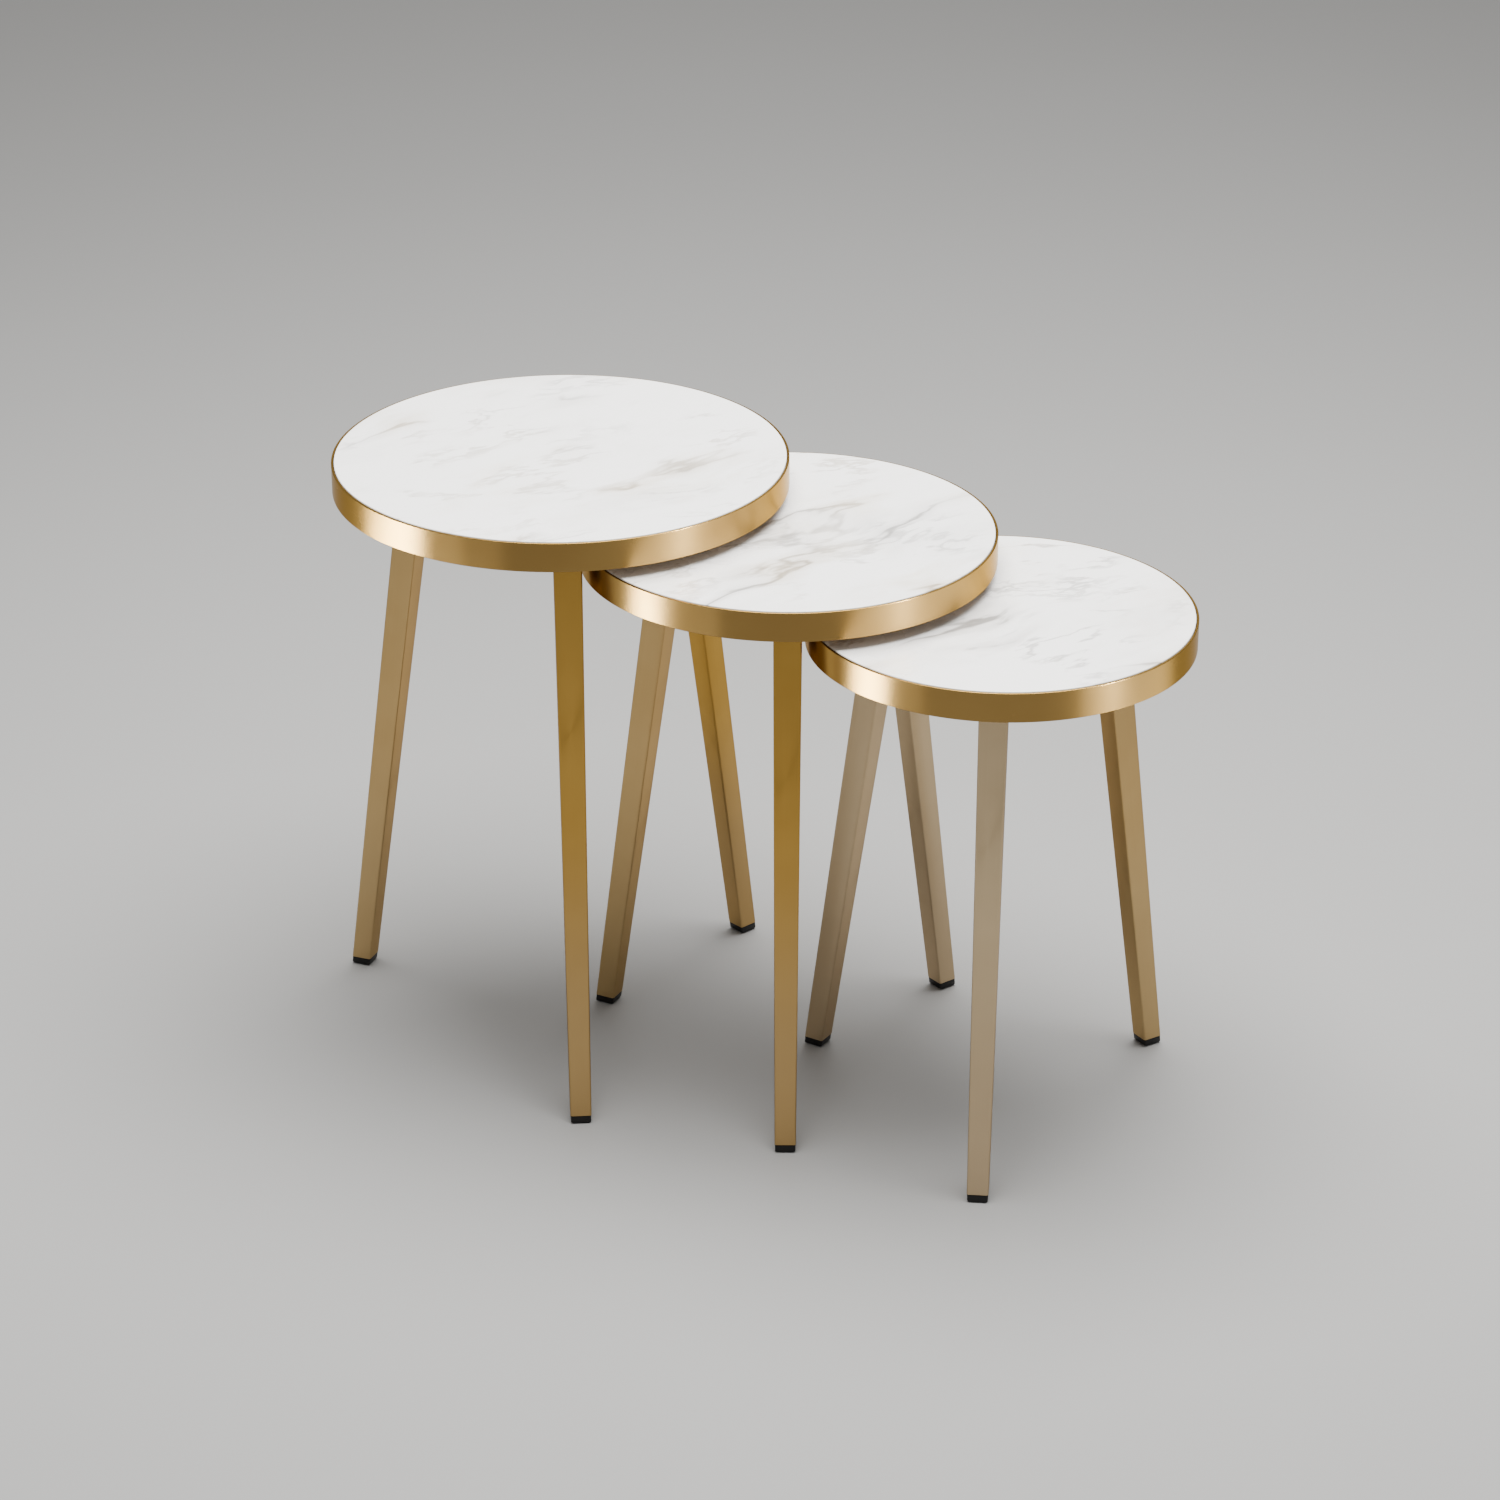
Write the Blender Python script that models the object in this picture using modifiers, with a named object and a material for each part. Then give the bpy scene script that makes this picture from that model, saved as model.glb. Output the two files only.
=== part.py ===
"""Set of three round nesting side tables, each on three splayed, tapered legs.

Metres, +Z up. The set stands on z = 0 and is centred in plan on the origin.
Each table is a stone disc on a fibreboard core inside a metal band. A leg is
a tapered square tube welded to a round plate, which three screws hold to the
core, and a plastic foot plugs its open end.

The two legs at a table's open side are wider apart than the others, and the
next smaller table nests between them. The large table opens along +X.
"""

import math
from types import SimpleNamespace

import bmesh
import bpy
from mathutils import Matrix, Vector

# Overall sizes: radius over the band, and height of the stone's top.
LARGE_RADIUS = 0.220
MEDIUM_RADIUS = 0.1985
SMALL_RADIUS = 0.183
LARGE_HEIGHT = 0.600

# Clear height from a table's band down to the stone of the table under it.
MEDIUM_HEADROOM = 0.0115
SMALL_HEADROOM = 0.012

# Outside of the band to a leg's axis, level with the bottom of the band.
LARGE_LEG_INSET = 0.067
MEDIUM_LEG_INSET = 0.0725
SMALL_LEG_INSET = 0.0585

# Nesting: half the angle between the two open-side legs, how far each table
# is turned about its own axis, and the gap from a nested band to the legs.
OPENING_HALF_ANGLE = math.radians(64)
MEDIUM_TURN = math.radians(-5)
SMALL_TURN = math.radians(-10)
NEST_GAP = 0.003

# Table top. FIT_GAP is the clearance between any two pieces that touch.
FIT_GAP = 0.0003
STONE_THICKNESS = 0.0095
STONE_PROUD = 0.0008
STONE_JOINT = 0.0007
STONE_ARRIS = 0.0008
BOARD_THICKNESS = 0.018
BOARD_RECESS = 0.0015
BAND_WALL = 0.002
BAND_ARRIS = 0.0004

# Legs.
SPLAY = math.radians(8.3)
LEG_TOP_WIDTH = 0.027
LEG_END_WIDTH = 0.0205
LEG_WALL = 0.0015
LEG_CORNER = 0.0012
PLATE_THICKNESS = 0.003
PLATE_EDGE = 0.003

# Feet.
FOOT_HEIGHT = 0.008
FOOT_SETBACK = 0.0004
FOOT_CHAMFER = 0.0018
PLUG_DEPTH = 0.014

# Screws.
SCREW_SHANK_RADIUS = 0.0018
SCREW_HEAD_RADIUS = 0.004
SCREW_HEAD_HEIGHT = 0.0022
SCREW_BITE = 0.013
SCREW_TIP = 0.003
SCREW_HEAD_CLEARANCE = 0.001
SLOT_LENGTH = 0.0044
SLOT_WIDTH = 0.0009
SLOT_DEPTH = 0.0012

# Facets round a turned piece.
DISC_STEPS = 72
PLATE_STEPS = 32
SCREW_STEPS = 10
HOLE_STEPS = 12
MERGE_DISTANCE = 0.00005
SMOOTH_ANGLE = math.radians(35)

# Derived: how much of the height a table top takes, and the screw circle.
TOP_DEPTH = STONE_THICKNESS + FIT_GAP + BOARD_THICKNESS + BOARD_RECESS
LEG_END_Z = FOOT_HEIGHT + FIT_GAP
HOLE_RADIUS = SCREW_SHANK_RADIUS + FIT_GAP
SCREW_CIRCLE = LEG_TOP_WIDTH / math.sqrt(2) + SCREW_HEAD_CLEARANCE + SCREW_HEAD_RADIUS
PLATE_RADIUS = SCREW_CIRCLE + SCREW_HEAD_RADIUS + PLATE_EDGE
SCREW_ANGLES = [math.radians(angle) for angle in (0, 120, 240)]
LEG_ANGLES = {"front": -OPENING_HALF_ANGLE, "rear": OPENING_HALF_ANGLE, "left": math.pi}


def describe_table(name, radius, height, leg_inset):
    """Levels of one table, from the floor up, and the circle of its legs."""
    board_bottom = height - STONE_THICKNESS - FIT_GAP - BOARD_THICKNESS
    plate_top = board_bottom - FIT_GAP
    return SimpleNamespace(
        name=name,
        radius=radius,
        height=height,
        stone_bottom=height - STONE_THICKNESS,
        board_top=height - STONE_THICKNESS - FIT_GAP,
        board_bottom=board_bottom,
        band_top=height - STONE_PROUD,
        band_bottom=height - TOP_DEPTH,
        plate_top=plate_top,
        plate_bottom=plate_top - PLATE_THICKNESS,
        leg_circle=radius - leg_inset,
    )


def leg_radius(table, z):
    """Distance of a leg's axis from the table's axis at height z."""
    return table.leg_circle + (table.band_bottom - z) * math.tan(SPLAY)


def leg_width(table, z):
    """Outside width of a leg at height z."""
    share = (z - LEG_END_Z) / (table.plate_bottom - LEG_END_Z)
    return LEG_END_WIDTH + (LEG_TOP_WIDTH - LEG_END_WIDTH) * share


def nest_distance(outer, inner):
    """Distance between the axes of two tables when the inner one is nested.

    The inner table's band then stands NEST_GAP from the nearest corners of
    the two legs at the outer table's open side.
    """
    half = leg_width(outer, inner.height) / 2
    reach = leg_radius(outer, inner.height) - half
    corner_x = reach * math.cos(OPENING_HALF_ANGLE) + half * math.sin(OPENING_HALF_ANGLE)
    corner_y = reach * math.sin(OPENING_HALF_ANGLE) - half * math.cos(OPENING_HALF_ANGLE)
    return corner_x + math.sqrt((inner.radius + NEST_GAP) ** 2 - corner_y ** 2)


# ---------------------------------------------------------------- materials

def make_finish(name, colour, roughness, metallic=0.0):
    material = bpy.data.materials.new(name)
    material.use_nodes = True
    shader = material.node_tree.nodes["Principled BSDF"]
    shader.inputs["Base Color"].default_value = (*colour, 1.0)
    shader.inputs["Roughness"].default_value = roughness
    shader.inputs["Metallic"].default_value = metallic
    return material


def make_finishes():
    return SimpleNamespace(
        stone=make_finish("white_marble", (0.79, 0.78, 0.76), 0.35),
        board=make_finish("fibreboard", (0.30, 0.21, 0.13), 0.85),
        band=make_finish("satin_gold_band", (0.62, 0.42, 0.20), 0.28, 1.0),
        leg=make_finish("satin_gold_leg", (0.52, 0.36, 0.17), 0.36, 1.0),
        foot=make_finish("black_plastic", (0.015, 0.013, 0.012), 0.5),
        screw=make_finish("zinc_screw", (0.55, 0.55, 0.56), 0.35, 1.0),
    )


# ------------------------------------------------------------- mesh helpers

def clear_scene():
    for old in list(bpy.data.objects):
        bpy.data.objects.remove(old, do_unlink=True)


def make_collection(name):
    collection = bpy.data.collections.new(name)
    bpy.context.scene.collection.children.link(collection)
    return collection


def add_object(name, mesh, collection):
    piece = bpy.data.objects.new(name, mesh)
    collection.objects.link(piece)
    return piece


def mesh_from_bmesh(name, shape):
    mesh = bpy.data.meshes.new(name)
    shape.to_mesh(mesh)
    shape.free()
    return mesh


def evaluated_mesh(piece):
    """The piece's mesh with its modifiers carried out."""
    depsgraph = bpy.context.evaluated_depsgraph_get()
    mesh = bpy.data.meshes.new_from_object(piece.evaluated_get(depsgraph))
    mesh.name = piece.name
    return mesh


def settle(piece):
    """Replace a piece's mesh by the result of its modifiers."""
    mesh = evaluated_mesh(piece)
    piece.modifiers.clear()
    piece.data = mesh


def shade(mesh, material):
    mesh.materials.clear()
    mesh.materials.append(material)
    mesh.shade_smooth()
    mesh.set_sharp_from_angle(angle=SMOOTH_ANGLE)


def turned(name, profile, steps, collection, closed=False):
    """A piece turned about Z from (radius, height) points, top to bottom outside."""
    shape = bmesh.new()
    points = [shape.verts.new((radius, 0.0, z)) for radius, z in profile]
    for start, end in zip(points, points[1:]):
        shape.edges.new((start, end))
    if closed:
        shape.edges.new((points[-1], points[0]))
    piece = add_object(name, mesh_from_bmesh(name, shape), collection)
    screw = piece.modifiers.new("turn", "SCREW")
    screw.axis = "Z"
    screw.angle = math.tau
    screw.steps = steps
    screw.render_steps = steps
    screw.use_merge_vertices = True
    screw.merge_threshold = MERGE_DISTANCE
    settle(piece)
    return piece


def add_rod(shape, radius, z_low, z_high, centre, steps):
    """A plain upright cylinder, at centre = (x, y)."""
    place = Matrix.Translation((centre[0], centre[1], (z_low + z_high) / 2))
    bmesh.ops.create_cone(
        shape, cap_ends=True, segments=steps, radius1=radius, radius2=radius,
        depth=z_high - z_low, matrix=place)


def leaning_bar(table, z_low, z_high, offset):
    """A square bar along a leg's axis, its sides `offset` inside the leg's own."""
    widths = [leg_width(table, z) - 2 * offset for z in (z_low, z_high)]
    shape = bmesh.new()
    place = Matrix.Translation((0, 0, (z_low + z_high) / 2)) @ Matrix.Rotation(math.pi / 4, 4, "Z")
    bmesh.ops.create_cone(
        shape, cap_ends=True, segments=4, radius1=widths[0] / math.sqrt(2),
        radius2=widths[1] / math.sqrt(2), depth=z_high - z_low, matrix=place)
    for vert in shape.verts:
        vert.co.x += leg_radius(table, vert.co.z)
    return shape


def round_edges(shape, keep, width, segments):
    edges = [edge for edge in shape.edges if keep(edge)]
    bmesh.ops.bevel(
        shape, geom=edges, offset=width, segments=segments, profile=0.5, affect="EDGES")


def runs_up(edge):
    return abs(edge.verts[0].co.z - edge.verts[1].co.z) > FOOT_HEIGHT / 2


def lies_low(edge):
    return max(vert.co.z for vert in edge.verts) < FOOT_CHAMFER


def combine(piece, other, operation):
    boolean = piece.modifiers.new(operation.lower(), "BOOLEAN")
    boolean.operation = operation
    boolean.solver = "EXACT"
    boolean.object = other


# ------------------------------------------------------------------ factory

class Workshop:
    """Holds the collections and finishes, and makes every piece of a table."""

    def __init__(self):
        self.pieces = make_collection("nesting_tables")
        self.cutters = make_collection("cutters")
        self.finish = make_finishes()
        self.screw_mesh = self.make_screw_mesh()

    def cutter(self, name, shape):
        piece = add_object(name, mesh_from_bmesh(name, shape), self.cutters)
        piece.hide_render = True
        piece.display_type = "WIRE"
        return piece

    def place(self, name, mesh, parent, angle=0.0, location=(0, 0, 0)):
        piece = add_object(name, mesh, self.pieces)
        piece.parent = parent
        piece.location = location
        piece.rotation_euler = (0, 0, angle)
        return piece

    def make_screw_mesh(self):
        """Pan-head wood screw, its point up and its cross recess below."""
        length = PLATE_THICKNESS + 2 * FIT_GAP + SCREW_BITE
        head = SCREW_HEAD_RADIUS
        profile = [
            (0, length),
            (SCREW_SHANK_RADIUS, length - SCREW_TIP),
            (SCREW_SHANK_RADIUS, 0),
            (head, 0),
            (head, -SCREW_HEAD_HEIGHT / 2),
            (head * 0.7, -SCREW_HEAD_HEIGHT),
            (0, -SCREW_HEAD_HEIGHT),
        ]
        screw = turned("screw_blank", profile, SCREW_STEPS, self.cutters)
        for index, angle in enumerate((0, math.pi / 2)):
            shape = bmesh.new()
            size = Matrix.Diagonal((SLOT_LENGTH, SLOT_WIDTH, 2 * SLOT_DEPTH, 1))
            spot = Matrix.Translation((0, 0, -SCREW_HEAD_HEIGHT))
            turn = Matrix.Rotation(angle, 4, "Z")
            bmesh.ops.create_cube(shape, size=1, matrix=spot @ turn @ size)
            combine(screw, self.cutter(f"recess_slot_{index + 1}", shape), "DIFFERENCE")
        mesh = evaluated_mesh(screw)
        mesh.name = "screw"
        shade(mesh, self.finish.screw)
        bpy.data.objects.remove(screw)
        return mesh

    def screw_centres(self, table, leg_angle):
        """Plan positions of one leg's three screws, in the table's frame."""
        middle = Vector((leg_radius(table, table.plate_bottom), 0, 0))
        spots = [middle + Vector((SCREW_CIRCLE * math.cos(a), SCREW_CIRCLE * math.sin(a), 0))
                 for a in SCREW_ANGLES]
        return [Matrix.Rotation(leg_angle, 3, "Z") @ spot for spot in spots]

    def hole_cutter(self, name, table, leg_angles, z_low, z_high):
        shape = bmesh.new()
        for leg_angle in leg_angles:
            for spot in self.screw_centres(table, leg_angle):
                add_rod(shape, HOLE_RADIUS, z_low, z_high, spot, HOLE_STEPS)
        return self.cutter(name, shape)

    def make_top(self, table, parent):
        inside = table.radius - BAND_WALL
        outside = table.radius
        stone_radius = inside - STONE_JOINT
        board_radius = inside - FIT_GAP
        stone = turned(f"{table.name}_marble_top", [
            (0, table.height),
            (stone_radius - STONE_ARRIS, table.height),
            (stone_radius, table.height - STONE_ARRIS),
            (stone_radius, table.stone_bottom),
            (0, table.stone_bottom),
        ], DISC_STEPS, self.pieces)
        board = turned(f"{table.name}_core_board", [
            (0, table.board_top),
            (board_radius, table.board_top),
            (board_radius, table.board_bottom),
            (0, table.board_bottom),
        ], DISC_STEPS, self.pieces)
        band = turned(f"{table.name}_rim_band", [
            (outside - BAND_ARRIS, table.band_top),
            (outside, table.band_top - BAND_ARRIS),
            (outside, table.band_bottom + BAND_ARRIS),
            (outside - BAND_ARRIS, table.band_bottom),
            (inside, table.band_bottom),
            (inside, table.band_top),
        ], DISC_STEPS, self.pieces, closed=True)
        holes = self.hole_cutter(
            f"{table.name}_board_holes", table, LEG_ANGLES.values(),
            table.plate_bottom, table.board_bottom + SCREW_BITE + FIT_GAP)
        combine(board, holes, "DIFFERENCE")
        settle(board)
        for piece, finish in ((stone, self.finish.stone), (board, self.finish.board),
                              (band, self.finish.band)):
            shade(piece.data, finish)
            piece.parent = parent

    def make_leg_mesh(self, table):
        """Tapered tube welded to its plate, lying along +X from the table's axis."""
        name = f"{table.name}_leg"
        plate = bmesh.new()
        centre = (leg_radius(table, table.plate_bottom), 0)
        add_rod(plate, PLATE_RADIUS, table.plate_bottom, table.plate_top, centre, PLATE_STEPS)
        leg = add_object(name, mesh_from_bmesh(name, plate), self.cutters)

        weld_z = table.plate_bottom + PLATE_THICKNESS / 2
        tube = leaning_bar(table, LEG_END_Z, weld_z, 0)
        round_edges(tube, runs_up, LEG_CORNER, 2)
        bore = leaning_bar(table, 0, table.plate_bottom, LEG_WALL)
        holes = self.hole_cutter(
            f"{name}_holes", table, [0], table.plate_bottom - PLATE_THICKNESS,
            table.plate_top + PLATE_THICKNESS)
        combine(leg, self.cutter(f"{name}_tube", tube), "UNION")
        combine(leg, self.cutter(f"{name}_bore", bore), "DIFFERENCE")
        combine(leg, holes, "DIFFERENCE")
        mesh = evaluated_mesh(leg)
        shade(mesh, self.finish.leg)
        bpy.data.objects.remove(leg)
        return mesh

    def make_foot_mesh(self, table):
        """Chamfered foot under the tube's end, with a plug that fills the bore."""
        name = f"{table.name}_foot"
        block = leaning_bar(table, 0, FOOT_HEIGHT, FOOT_SETBACK)
        round_edges(block, lies_low, FOOT_CHAMFER, 1)
        foot = add_object(name, mesh_from_bmesh(name, block), self.cutters)
        plug = leaning_bar(
            table, FOOT_HEIGHT / 2, FOOT_HEIGHT + PLUG_DEPTH, LEG_WALL + FIT_GAP)
        combine(foot, self.cutter(f"{name}_plug", plug), "UNION")
        mesh = evaluated_mesh(foot)
        shade(mesh, self.finish.foot)
        bpy.data.objects.remove(foot)
        return mesh

    def make_table(self, table, location, turn):
        stand = bpy.data.objects.new(f"{table.name}_table", None)
        self.pieces.objects.link(stand)
        stand.location = location
        stand.rotation_euler = (0, 0, turn)
        self.make_top(table, stand)
        leg_mesh = self.make_leg_mesh(table)
        foot_mesh = self.make_foot_mesh(table)
        for side, angle in LEG_ANGLES.items():
            self.place(f"{table.name}_leg_{side}", leg_mesh, stand, angle)
            self.place(f"{table.name}_foot_{side}", foot_mesh, stand, angle)
            for index, spot in enumerate(self.screw_centres(table, angle)):
                seat = (spot.x, spot.y, table.plate_bottom - FIT_GAP)
                self.place(f"{table.name}_screw_{side}_{index + 1}", self.screw_mesh,
                           stand, angle, seat)
        return stand


def centre_in_plan(pieces, stands):
    """Shift the whole set so that the middle of its outline is over the origin."""
    bpy.context.view_layer.update()
    points = [piece.matrix_world @ vert.co
              for piece in pieces if piece.type == "MESH" for vert in piece.data.vertices]
    middle = [(min(p[axis] for p in points) + max(p[axis] for p in points)) / 2
              for axis in (0, 1)]
    for stand in stands:
        stand.location.x -= middle[0]
        stand.location.y -= middle[1]


def main():
    clear_scene()
    workshop = Workshop()
    large = describe_table("large", LARGE_RADIUS, LARGE_HEIGHT, LARGE_LEG_INSET)
    medium = describe_table(
        "medium", MEDIUM_RADIUS, large.band_bottom - MEDIUM_HEADROOM, MEDIUM_LEG_INSET)
    small = describe_table(
        "small", SMALL_RADIUS, medium.band_bottom - SMALL_HEADROOM, SMALL_LEG_INSET)

    medium_place = Vector((nest_distance(large, medium), 0, 0))
    small_step = Matrix.Rotation(MEDIUM_TURN, 3, "Z") @ Vector((nest_distance(medium, small), 0, 0))
    stands = [
        workshop.make_table(large, (0, 0, 0), 0.0),
        workshop.make_table(medium, medium_place, MEDIUM_TURN),
        workshop.make_table(small, medium_place + small_step, SMALL_TURN),
    ]
    centre_in_plan(workshop.pieces.objects, stands)
    bpy.context.view_layer.update()


main()
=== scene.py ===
"""Looks for a set of three round nesting side tables.

Each table is a white marble disc in a satin gold band, on three tapered gold
legs with small plastic feet. Metres, +Z up, the tables stand on z = 0.
"""

import math
import bmesh
import bpy
from mathutils import Matrix, Vector


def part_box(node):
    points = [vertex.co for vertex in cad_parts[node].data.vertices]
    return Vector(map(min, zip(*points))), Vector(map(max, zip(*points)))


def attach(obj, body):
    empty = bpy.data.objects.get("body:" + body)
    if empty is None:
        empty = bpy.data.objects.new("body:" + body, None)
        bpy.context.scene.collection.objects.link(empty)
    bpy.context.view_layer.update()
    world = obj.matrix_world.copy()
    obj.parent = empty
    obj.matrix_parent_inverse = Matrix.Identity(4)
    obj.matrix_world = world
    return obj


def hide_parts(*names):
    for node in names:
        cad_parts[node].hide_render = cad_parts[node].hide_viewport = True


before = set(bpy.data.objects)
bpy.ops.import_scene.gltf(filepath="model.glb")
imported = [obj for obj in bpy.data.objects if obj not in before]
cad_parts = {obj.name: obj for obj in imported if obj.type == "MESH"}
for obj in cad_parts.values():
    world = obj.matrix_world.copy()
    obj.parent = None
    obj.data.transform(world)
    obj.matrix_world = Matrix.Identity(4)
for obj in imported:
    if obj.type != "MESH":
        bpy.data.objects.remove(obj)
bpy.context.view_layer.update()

TABLES = ("large", "medium", "small")
SIDES = ("front", "rear", "left")
SCREWS_PER_LEG = 3

# Table top: fillets on the stone and the band, and the band's wall.
STONE_FILLET = 0.0010
STONE_FOOT_FILLET = 0.0004
BAND_FILLET = 0.0005
BAND_WALL = 0.002

# Legs: section at the plate and at the foot, wall, corner radii outside and inside, eased rim.
LEG_TOP_WIDTH = 0.027
LEG_END_WIDTH = 0.0205
LEG_WALL = 0.0015
LEG_CORNER = 0.0019
BORE_CORNER = LEG_CORNER * 0.5
LEG_LIP = 0.0003
LEG_SPANS = 12
PLATE_THICKNESS = 0.003
PLATE_FILLET = 0.0006
PLATE_EDGE = 0.003

# Weld: bead radius, share that ripples, ripples and steps round the tube, arc of its section in
# degrees. The bend of its path at a corner and its depth inside are shares of the bead radius.
WELD_RADIUS = 0.0021
WELD_RIPPLE = 0.10
WELD_RIPPLES = 32
WELD_STEPS = 96
WELD_ARC = (0, 30, 60, 90)
WELD_BEND = 0.4
WELD_ROOT = 0.9

# Feet: set back from the tube, with eased edges, and a plug with fins. A fin rises, ends its
# crest and falls back at shares of the pitch. Pieces that meet keep a small gap.
FOOT_SETBACK = 0.0004
FOOT_FILLET = 0.0014
FOOT_CHAMFER = 0.0016
FOOT_EASE = 0.0002
PLUG_FIN = 0.0011
PLUG_FINS = 3
FIN_SHARES = (0.15, 0.6, 0.9)
FIT_GAP = 0.0003

# Screws: shank, point, thread, pan head and its cross recess.
SHANK_RADIUS = 0.0018
POINT_LENGTH = 0.0008
POINT_SHARE = 0.35
THREAD_START = 0.0030
THREAD_PITCH = 0.0016
THREAD_DEPTH = 0.00022
HEAD_FILLET = 0.0013
HEAD_UNDERCUT = 0.0003
RECESS_LENGTH = 0.0044
RECESS_WIDTH = 0.00085
RECESS_DEPTH = 0.0013

# Facets round a disc, a plate, a screw and a fillet. A support point stands outside a fillet by
# this many of its runs. Slivers, points on an axis and points on a level are told by distance.
DISC_STEPS = 240
PLATE_STEPS = 64
SCREW_STEPS = 28
FILLET_STEPS = 5
FILLET_SUPPORT = 1.25
SMOOTH_ANGLE = math.radians(38)
SLIVER = 3e-6
ON_AXIS = 1e-9
ON_LEVEL = 1e-5

# Marble: where each top lies in the vein pattern, and how strong its veins are.
VEIN_ANGLE = math.radians(62)
MARBLES = {
    "large": ((0.3, 1.7, 0.0), 1.0),
    "medium": ((2.173, 0.477, 0.0), 1.15),
    "small": ((4.4, 3.1, 0.0), 1.4),
}
WHITE_STONE = (0.83, 0.818, 0.792)
GREY_MIST = (0.60, 0.585, 0.560)
WARM_MIST = (0.64, 0.575, 0.470)
GREY_VEIN = (0.235, 0.225, 0.210)
WARM_VEIN = (0.270, 0.215, 0.140)

# Golds: plating, its worn shade, tint at a glancing angle, brushing, and the paler tint low on a
# leg that is a painted reflection of the pale floor.
# Brushing is the scale of its lines, whether they run up the leg, and their depth.
LEG_PLACE = "place_on_leg"
ROUND_BAND = ((5.0, 5.0, 900.0), False, 0.012)
UP_THE_LEG = ((700.0, 700.0, 4.0), True, 0.07)
LEG_EDGE = (0.50, 0.45, 0.45)
BRUSHED_SPREAD = 0.6
BRUSHED_TURN = 0.25
# Painted reflection of the pale floor: below these heights up a leg its gold pales towards the foot
# tint, by at most this share.
FLOOR_REFLECTION_HEIGHTS = (0.08, 0.34)
FLOOR_REFLECTION_SHARE = 0.7
BAND_GOLD = {
    "colour": (0.300, 0.188, 0.060), "shade": (0.260, 0.157, 0.047), "edge": (0.80, 0.64, 0.44),
    "roughness": 0.27, "lines": ROUND_BAND,
}
LEG_GOLD = {
    "colour": (0.52, 0.305, 0.068), "shade": (0.45, 0.255, 0.052), "edge": LEG_EDGE,
    "roughness": 0.34, "lines": UP_THE_LEG, "foot": (0.39, 0.272, 0.138),
}
# Painted light: lighter copies of the leg gold, the same plating shown lit brighter on some legs.
PAINTED_LIGHT_GOLD = {
    "colour": (0.585, 0.395, 0.168), "shade": (0.515, 0.335, 0.132), "edge": LEG_EDGE,
    "roughness": 0.36, "lines": UP_THE_LEG, "foot": (0.43, 0.305, 0.150),
}
PAINTED_PALEST_GOLD = {
    "colour": (0.62, 0.478, 0.292), "shade": (0.54, 0.410, 0.245), "edge": LEG_EDGE,
    "roughness": 0.38, "lines": UP_THE_LEG, "foot": (0.42, 0.315, 0.195),
}
# The legs painted with the lighter copies of the leg gold.
PAINTED_LIGHT_GOLD_LEGS = ("large_leg_left", "medium_leg_left", "small_leg_rear")
PAINTED_PALEST_GOLD_LEGS = ("medium_leg_rear", "small_leg_front", "small_leg_left")
FOOT_BLACK = (0.0045, 0.004, 0.0035)

# View: the set is seen from its front right, a little above.
CAMERA_AZIMUTH = math.radians(21.7)
CAMERA_PITCH = math.radians(25.6)
CAMERA_DISTANCE = 4.10
CAMERA_AIM = (-0.003, 0.007, 0.316)
CAMERA_LENS = 100.8
SENSOR = 36.0

# Studio. A place is its distances right of the set's middle, away from the viewer and up.
FLOOR_SIZE = 60.0
FLOOR_GREYS = ((0.27, 0.267, 0.260), (0.29, 0.287, 0.280))
AIR_COLOUR = (1.0, 0.99, 0.975, 1.0)
AIR_STRENGTH = 0.55
# Lamps: place, what they are aimed at, size, watts, beam in degrees.
OVERHEAD = ((0.20, 0.08, 2.7), (0, 0, 0), (2.1, 2.1), 265)
BACK_WASH = ((0.2, 3.4, 2.8), (0.2, 3.2, 0), (2.0, 2.0), 25)
RIGHT_STRIP = ((2.05, -1.20, 0.8), (0, 0, 0.55), (0.3, 1.0), 12, 40)
# Glowing cards on the floor: right, away, size, watts.
CARD_LIFT = 0.01
SHARED_CARDS = {
    "right_card": (1.15, -0.25, (0.5, 1.1), 5.5),
    "near_left_card": (-1.05, -0.74, (0.9, 0.24), 1.8),
    "rear_left_card": (-0.9, 0.55, (0.7, 0.5), 0.7),
}
BAND_CARDS = {
    "large": [(-1.57, -0.13, (0.42, 1.20), 116), (-1.30, -0.84, (0.3, 0.24), 0.7)],
    "medium": [(-1.20, -0.275, (0.42, 0.48), 46), (1.20, -0.85, (0.5, 0.5), 0.6)],
    "small": [(-0.90, -0.315, (0.40, 0.485), 45), (1.20, -0.85, (0.5, 0.5), 1.2)],
}


# ------------------------------------------------------------ shader graphs

class Value:
    """A shader socket that Python arithmetic can build on."""

    def __init__(self, finish, socket):
        self.finish = finish
        self.socket = socket

    def maths(self, operation, *values):
        sockets = dict(enumerate(values))
        return self.finish.node("ShaderNodeMath", {"operation": operation}, sockets)

    def __add__(self, other):
        return self.maths("ADD", self, other)

    __radd__ = __add__

    def __sub__(self, other):
        return self.maths("SUBTRACT", self, other)

    def __rsub__(self, other):
        return self.maths("SUBTRACT", other, self)

    def __mul__(self, other):
        return self.maths("MULTIPLY", self, other)

    __rmul__ = __mul__

    def __abs__(self):
        return self.maths("ABSOLUTE", self)

    def ease(self, start, end):
        """0 below start, 1 above end, and smooth between them."""
        return self.finish.node(
            "ShaderNodeMapRange", {"interpolation_type": "SMOOTHSTEP"},
            {"Value": self, "From Min": start, "From Max": end})


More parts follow.
